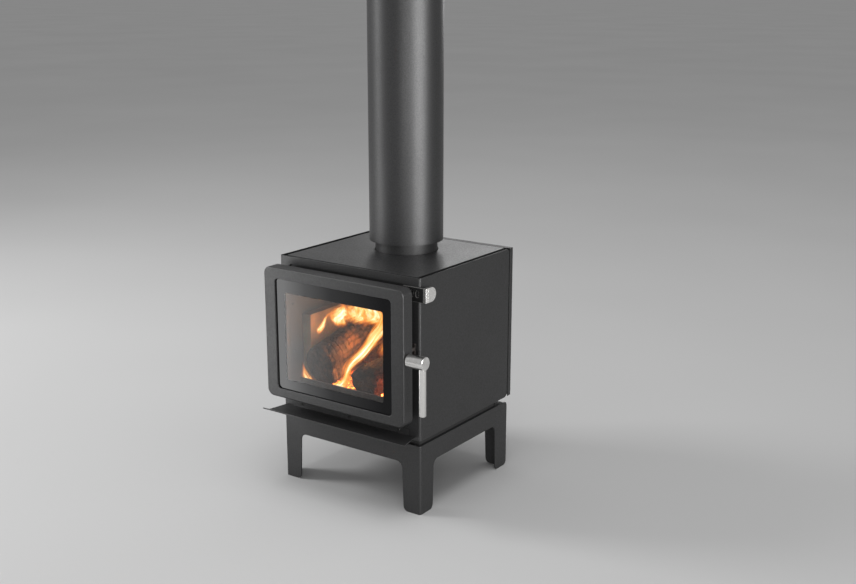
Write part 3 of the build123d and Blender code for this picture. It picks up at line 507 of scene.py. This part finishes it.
def crack_pattern(u, v, wrap, salt):
    """How near each point of a block pattern is to a crack: 0 on a block, 1 in the crack. Blocks are
    one unit in size, and the pattern repeats after wrap units of v."""
    cell = np.stack([np.floor(u), np.floor(v)], -1)
    beyond = 9.0
    nearest = np.full(u.shape, beyond)
    second = np.full(u.shape, beyond)
    for du in (-1, 0, 1):
        for dv in (-1, 0, 1):
            home = cell + (du, dv)
            name = np.stack([home[..., 0], home[..., 1] % wrap], -1)
            spot = home + 0.5 + 0.62 * (scatter(name, salt) - 0.5)
            gap = np.maximum(np.abs(spot[..., 0] - u), np.abs(spot[..., 1] - v))
            gap = 0.7 * gap + 0.3 * np.hypot(spot[..., 0] - u, spot[..., 1] - v)
            second = np.minimum(second, np.maximum(nearest, gap))
            nearest = np.minimum(nearest, gap)
    edge = np.clip((second - nearest) / CRACK_SHARE, 0, 1)
    return 1 - edge * edge * (3 - 2 * edge)


def ripple(u, v, salt, octaves=4):
    """Smooth repeatable unevenness, periodic round v in turns."""
    random = np.random.default_rng(salt)
    total = np.zeros(np.broadcast(u, v).shape)
    for octave in range(octaves):
        for _ in range(4):
            around = random.integers(1, 3 + 4 * octave)
            along = random.uniform(1, 4) * (octave + 1)
            phase = random.uniform(0, 2 * pi, 2)
            wave = np.cos(around * v * 2 * pi + phase[0]) * np.cos(along * u * pi + phase[1])
            total += wave / (octave + 1) / 4
    return total


def log_section(turn, salt):
    """A split log's outline as a share of its radius: two flat split faces and a round bark side."""
    random = np.random.default_rng(salt)
    start = random.uniform(0, 1)
    angle = (turn + start) * 2 * pi
    outline = np.ones_like(angle)
    for distance, direction in LOG_FLATS:
        outline = np.minimum(outline, distance / np.maximum(np.cos(angle - direction), 0.05))
    return outline * (1 + 0.03 * np.cos(3 * angle) + 0.02 * np.cos(5 * angle + 1))


def log_grid(length):
    """A log's points: their share along it, their turn round it, and their share out from its axis."""
    rows = int(length / LOG_STEP)
    turn = np.arange(ROUND) / ROUND
    caps_in = np.linspace(0, 1, CAP_RINGS, endpoint=False)
    level = np.concatenate([np.zeros(CAP_RINGS), np.linspace(0, 1, rows), np.ones(CAP_RINGS)])
    outward = np.concatenate([caps_in, np.ones(rows), caps_in[::-1]])
    u, v = np.meshgrid(level, turn, indexing="ij")
    return u, v, outward[:, None] * np.ones_like(v)


def log_cracks(u, v, out, length, half_width, salt):
    """Blocks of char on a log's side, a few long splits, and a ring pattern on its end faces."""
    blocks_round = int(2 * pi * half_width / (BLOCK * BLOCK_SQUAT))
    drift = 0.35 * ripple(u, v, salt + 2)
    side_crack = crack_pattern(u * length / BLOCK + drift, v * blocks_round + drift, blocks_round, salt)
    splits = np.clip(np.abs(ripple(u * 0.4, v, salt + 3, 5)) / 0.05, 0, 1)
    side_crack = np.maximum(side_crack, 0.9 * (1 - splits))
    cap_crack = crack_pattern(out * 3.2, v * 9, 9, salt + 5)
    return np.where(out < 1, cap_crack, side_crack)


def split_log(node, near, far, near_size, far_width, salt, fire_side_turn, glow_and_firelight):
    """A burning split log from near to far, in place of a CAD log. Near_size is (half width, half height),
    far_width is the far end's half width, and the last two arguments give the side that faces the fire and
    how strongly the log glows and carries painted firelight, which is brighter on that side."""
    axis = (far - near).normalized()
    side = axis.cross(Vector((0, 0, 1))).normalized()
    up = side.cross(axis)
    length = (far - near).length
    u, v, out = log_grid(length)
    is_cap = out < 1
    half_width = near_size[0] + (far_width - near_size[0]) * u
    taller = near_size[1] / near_size[0]
    outline = log_section(v, salt) * (1 + 0.05 * ripple(u, v, salt + 1))
    crack = log_cracks(u, v, out, length, near_size[0], salt)
    relief = -CRACK_DEPTH * crack + GRAIN_HEIGHT * ripple(u * 9, v, salt + 4, 5)
    reach = half_width * outline * out + np.where(is_cap, 0, relief)
    edge = 1 - np.clip((length * np.minimum(u, 1 - u)) / END_WEAR, 0, 1)
    reach = reach * (1 - 0.05 * edge ** 2 * (1 - is_cap))
    lift = np.where(is_cap, (1 - out ** 3) * END_BULGE - END_CRACK_DEPTH * crack, 0)
    lift = np.where(u < 0.5, -lift, lift)
    angle = v * 2 * pi
    across = reach * np.cos(angle) + LOG_BEND * np.sin(u * pi)
    rise = reach * np.sin(angle) * taller
    points = []
    for place, aside, above in zip((u * length + lift).ravel(), across.ravel(), rise.ravel()):
        points.append(near + axis * place + side * aside + up * above)
    faces = grid_faces(len(u), ROUND, closed=True)
    piece = make_piece(node + "_charred", points, faces, slot_materials["charred_log"], "stove")
    facing_fire = 0.5 + 0.5 * np.cos(angle - fire_side_turn * 2 * pi)
    attribute(piece, "crack", crack)
    # painted firelight: this number is higher on the side that faces the fire and low on the end faces, and
    # it also scales the rims' own glow
    attribute(piece, "heat", glow_and_firelight * (0.45 + 0.55 * facing_fire) * np.where(is_cap, 0.12, 1.0))
    weld_points(piece)
    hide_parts(node)


def weld_points(piece):
    """Joins points that lie in one place, and turns every face outwards."""
    mesh = bmesh.new()
    mesh.from_mesh(piece.data)
    bmesh.ops.remove_doubles(mesh, verts=mesh.verts, dist=WELD)
    bmesh.ops.recalc_face_normals(mesh, faces=mesh.faces)
    mesh.to_mesh(piece.data)
    mesh.free()


def ribbon_points(path, steps):
    """A smooth line through the path's points."""
    knots = [Vector(p) for p in path]
    knots = [knots[0] * 2 - knots[1], *knots, knots[-1] * 2 - knots[-2]]
    line = []
    for i in range(steps):
        place = i / (steps - 1) * (len(knots) - 3)
        k = min(int(place), len(knots) - 4)
        t = place - k
        a, b, c, d = knots[k:k + 4]
        line.append(0.5 * (2 * b + (c - a) * t + (2 * a - 5 * b + 4 * c - d) * t * t
                           + (3 * b - a - 3 * c + d) * t ** 3))
    return line


def flame(name, path, width, salt):
    """A tongue of flame: a curled sheet along the path, widest just below its middle."""
    random = np.random.default_rng(salt)
    phase = random.uniform(0, 2 * pi, 3)
    view = Vector((CAMERA_BACK.x, CAMERA_BACK.y, 0)).normalized()
    line = ribbon_points(path, FLAME_STEPS)
    last = FLAME_STEPS - 1
    points = []
    uvs = []
    for i, centre in enumerate(line):
        share = i / last
        ahead = (line[min(i + 1, last)] - line[max(i - 1, 0)]).normalized()
        sideways = ahead.cross(view).normalized()
        outward = sideways.cross(ahead)
        half = width * (0.25 + 1.1 * share * (1 - share) * 2) * (1 - 0.75 * share ** 3)
        sway = FLAME_SWAY * width * np.sin(share * 9 + phase[0])
        for j in range(FLAME_ACROSS + 1):
            edge = j / FLAME_ACROSS * 2 - 1
            curl = half * (FLAME_CURL * edge * edge + 0.2 * np.sin(edge * 3 + share * 7 + phase[1]))
            points.append(centre + sideways * (half * edge + sway) + outward * curl)
            uvs.append((j / FLAME_ACROSS, share))
    faces = grid_faces(FLAME_STEPS, FLAME_ACROSS + 1)
    piece = make_piece(name, points, faces, flame_sheet, "stove")
    layer = piece.data.uv_layers.new(name="flame")
    for loop in piece.data.loops:
        layer.data[loop.index].uv = uvs[loop.vertex_index]
    attribute(piece, "lot", [salt * 3.7] * len(points))
    piece.visible_shadow = False


def ember_bed():
    """Ash and glowing embers on the firebox floor, in lumps."""
    corner = Vector((stove_x - EMBER_SIDE / 2, floor_low.y + EMBER_BACK, floor_high.z))
    shares = np.linspace(0, 1, EMBER_POINTS)
    s, t = np.meshgrid(shares, shares, indexing="ij")
    no_repeat = 1000
    crack = crack_pattern(s * EMBER_LUMPS, t * EMBER_LUMPS, no_repeat, 41)
    rim = np.minimum(np.minimum(s, 1 - s), np.minimum(t, 1 - t))
    swell = np.clip(rim / EMBER_RIM, 0, 1) ** 0.5
    relief = EMBER_HEIGHT - EMBER_CRACK_DEPTH * crack + EMBER_ROUGHNESS * ripple(s * 3, t, 42, 5)
    height = np.maximum(swell * relief + EMBER_LIFT, EMBER_CLEARANCE)
    wobble = EMBER_WOBBLE * ripple(s, t, 43)
    points = []
    for x, y, z in zip((EMBER_SIDE * s + wobble).ravel(), (EMBER_SIDE * t + wobble).ravel(), height.ravel()):
        points.append(corner + Vector((x, y, z)))
    faces = [(a, d, c, b) for a, b, c, d in grid_faces(EMBER_POINTS, EMBER_POINTS)]
    piece = make_piece("ember_bed_lumps", points, faces, ember_glow, "stove")
    attribute(piece, "crack", np.clip(crack * 1.2, 0, 1))


def at(x, y, z):
    """A place in the firebox: right of the stove's middle, behind the casing's front, over the floor."""
    return Vector((stove_x + x, front_y + y, z))


def build_fire():
    """Three logs, the embers, and tongues of flame that rise between and over the logs."""
    split_log("log_left", at(-0.098, 0.0105, 0.310), at(-0.097, 0.1725, 0.357),
              near_size=(0.0435, 0.057), far_width=0.042, salt=3, fire_side_turn=0.15, glow_and_firelight=1.0)
    split_log("log_right", at(0.038, 0.0145, 0.294), at(0.042, 0.1745, 0.312),
              near_size=(0.0415, 0.0415), far_width=0.038, salt=11, fire_side_turn=0.38, glow_and_firelight=1.5)
    split_log("log_rear", at(-0.128, 0.2375, 0.314), at(0.126, 0.2385, 0.312),
              near_size=(0.047, 0.060), far_width=0.047, salt=19, fire_side_turn=0.3, glow_and_firelight=0.9)
    ember_bed()
    # each tongue's half width, then its path from foot to tip
    tongues = {
        "between": (0.020, [(-0.027, 0.008, 0.252), (-0.030, 0.042, 0.308), (-0.024, 0.092, 0.345),
                            (-0.005, 0.132, 0.399), (-0.010, 0.155, 0.450)]),
        "between_low": (0.022, [(-0.044, 0.000, 0.252), (-0.036, 0.020, 0.275), (-0.028, 0.050, 0.325)]),
        "between_high": (0.024, [(-0.034, 0.090, 0.325), (-0.018, 0.130, 0.375), (0.004, 0.150, 0.425),
                                 (0.000, 0.160, 0.470)]),
        "over_right": (0.030, [(0.004, 0.110, 0.325), (0.030, 0.130, 0.370), (0.050, 0.140, 0.420),
                               (0.045, 0.150, 0.470)]),
        "over_left_near": (0.040, [(-0.120, 0.098, 0.385), (-0.110, 0.105, 0.415), (-0.100, 0.110, 0.455)]),
        "over_left_middle": (0.050, [(-0.092, 0.128, 0.390), (-0.080, 0.138, 0.425), (-0.070, 0.144, 0.468)]),
        "over_left_far": (0.052, [(-0.066, 0.150, 0.385), (-0.056, 0.165, 0.425), (-0.046, 0.170, 0.470)]),
        "over_rear": (0.045, [(-0.055, 0.215, 0.360), (-0.045, 0.220, 0.410), (-0.050, 0.225, 0.468)]),
        "over_rear_right": (0.050, [(0.045, 0.225, 0.355), (0.050, 0.225, 0.405), (0.040, 0.225, 0.468)]),
        "left_small": (0.011, [(-0.140, 0.058, 0.370), (-0.133, 0.066, 0.398), (-0.118, 0.078, 0.430)]),
        "left_foot": (0.013, [(-0.070, -0.006, 0.250), (-0.102, -0.006, 0.265), (-0.130, -0.004, 0.285),
                              (-0.145, 0.000, 0.322)]),
    }
    for salt, (name, (width, path)) in enumerate(tongues.items()):
        flame("flame_" + name, [at(*point) for point in path], width, 60 + salt)
        nearer = [at(x + WISP_RIGHT, y - WISP_FORWARD, z) for x, y, z in path]
        flame("flame_" + name + "_wisp", nearer, width * WISP_WIDER, 90 + salt)


# ---- stage, lights and camera -------------------------------------------------------------
def build_floor():
    """A matt grey floor that runs on out of sight."""
    mesh = bmesh.new()
    bmesh.ops.create_circle(mesh, cap_ends=True, segments=FLOOR_SEGMENTS, radius=FLOOR_RADIUS)
    data = bpy.data.meshes.new("studio_floor")
    mesh.to_mesh(data)
    mesh.free()
    g = Graph("studio_floor")
    g.set(Base_Color=g.ramp(g.noise(0.6, 2.0), (0.3, 0.62), (0.7, 0.65)))
    g.set(Roughness=1.0, Specular_IOR_Level=0.0)
    data.materials.append(g.material)
    add_object("studio_floor", data)


def area_light(name, place, aim, size, power, diffuse=True):
    """A soft box at a place, aimed at another. Size is (width, height), and a light that isn't
    diffuse shows only in reflections."""
    data = bpy.data.lights.new(name, "AREA")
    data.shape = "RECTANGLE"
    data.size, data.size_y = size
    data.energy = power
    light = add_object(name, data)
    light.location = place
    light.rotation_euler = (Vector(aim) - Vector(place)).to_track_quat("-Z", "Y").to_euler()
    light.visible_camera = False
    light.visible_diffuse = diffuse


def reflected_card():
    """What the glass mirrors at its left: a bright studio wall that falls off to the right."""
    low = at(*CARD_LOW)
    high = at(*CARD_HIGH)
    corners = [(low.x, low.y, low.z), (high.x, low.y, low.z), (high.x, low.y, high.z), (low.x, low.y, high.z)]
    data = bpy.data.meshes.new("reflected_card")
    data.from_pydata(corners, [], [(0, 1, 2, 3)])
    g = Graph("reflected_card")
    share = g.math("DIVIDE", g.math("SUBTRACT", g.axis("X"), low.x), high.x - low.x)
    fall = g.ramp(share, (0.0, 1.0), (0.46, 1.0), (0.57, 0.50), (0.70, 0.20), (0.95, 0.05))
    g.set(Base_Color=(0.0, 0.0, 0.0), Specular_IOR_Level=0.0)
    g.set(Emission_Color=fall, Emission_Strength=3.6)
    data.materials.append(g.material)
    card = add_object("reflected_card", data)
    card.visible_camera = False
    card.visible_diffuse = False
    card.visible_transmission = False
    card.visible_shadow = False


def fire_light(name, place, power, radius, colour=FIRE_ORANGE):
    """The fire's light on the bricks and logs. The lamp itself shows nowhere."""
    data = bpy.data.lights.new(name, "POINT")
    data.energy = power
    data.color = colour
    data.shadow_soft_size = radius
    light = add_object(name, data)
    light.location = place
    light.visible_camera = False
    light.visible_glossy = False
    light.visible_transmission = False


def build_world():
    world = bpy.data.worlds.new("studio")
    world.use_nodes = True
    background = world.node_tree.nodes["Background"]
    background.inputs["Color"].default_value = (1, 1, 1, 1)
    background.inputs["Strength"].default_value = SKY
    bpy.context.scene.world = world


def build_lights():
    """Soft boxes round the stove, with powers in watts."""
    area_light("key_left", (-3.4, -1.6, 2.6), (0, 0, 0.45), size=(1.3, 1.3), power=75)
    area_light("overhead", (0.8, -0.8, 7.0), (0.8, -0.8, 0), size=(3.5, 3.5), power=130)
    area_light("front_fill", (2.3, -2.9, 0.9), (0, 0, 0.2), size=(1.6, 0.9), power=26)
    area_light("right_strip", (2.45, -0.50, 1.05), (0, 0, 1.05), size=(1.6, 2.1), power=105, diffuse=False)
    area_light("left_strip", (-2.4, -1.7, 0.9), (0, 0, 0.6), size=(0.9, 1.8), power=22, diffuse=False)
    area_light("behind", (-1.3, 3.8, 1.5), (0, 0, 0.6), size=(2.6, 1.1), power=17, diffuse=False)


def build_fire_lights():
    fire_light("fire_front", at(-0.020, 0.065, 0.365), power=0.9, radius=0.02)
    fire_light("fire_back", at(-0.020, 0.160, 0.430), power=1.3, radius=0.04)
    fire_light("fire_low", at(-0.030, 0.040, 0.290), power=0.5, radius=0.015)
    fire_light("fire_right", at(0.100, 0.020, 0.290), power=0.25, radius=0.015, colour=FIRE_RED)


def build_camera():
    data = bpy.data.cameras.new("camera")
    data.lens = LENS
    data.clip_end = CAMERA_REACH
    camera = add_object("camera", data)
    camera.location = CAMERA_BACK + Vector((stove_x, 0, 0))
    camera.rotation_euler = (radians(90 - CAMERA_PITCH), 0, radians(CAMERA_YAW))
    bpy.context.scene.camera = camera


bpy.context.scene.view_settings.view_transform = "Standard"
build_floor()
build_world()
build_lights()
reflected_card()
build_fire_lights()
build_camera()
paint_nodes()
build_fire()
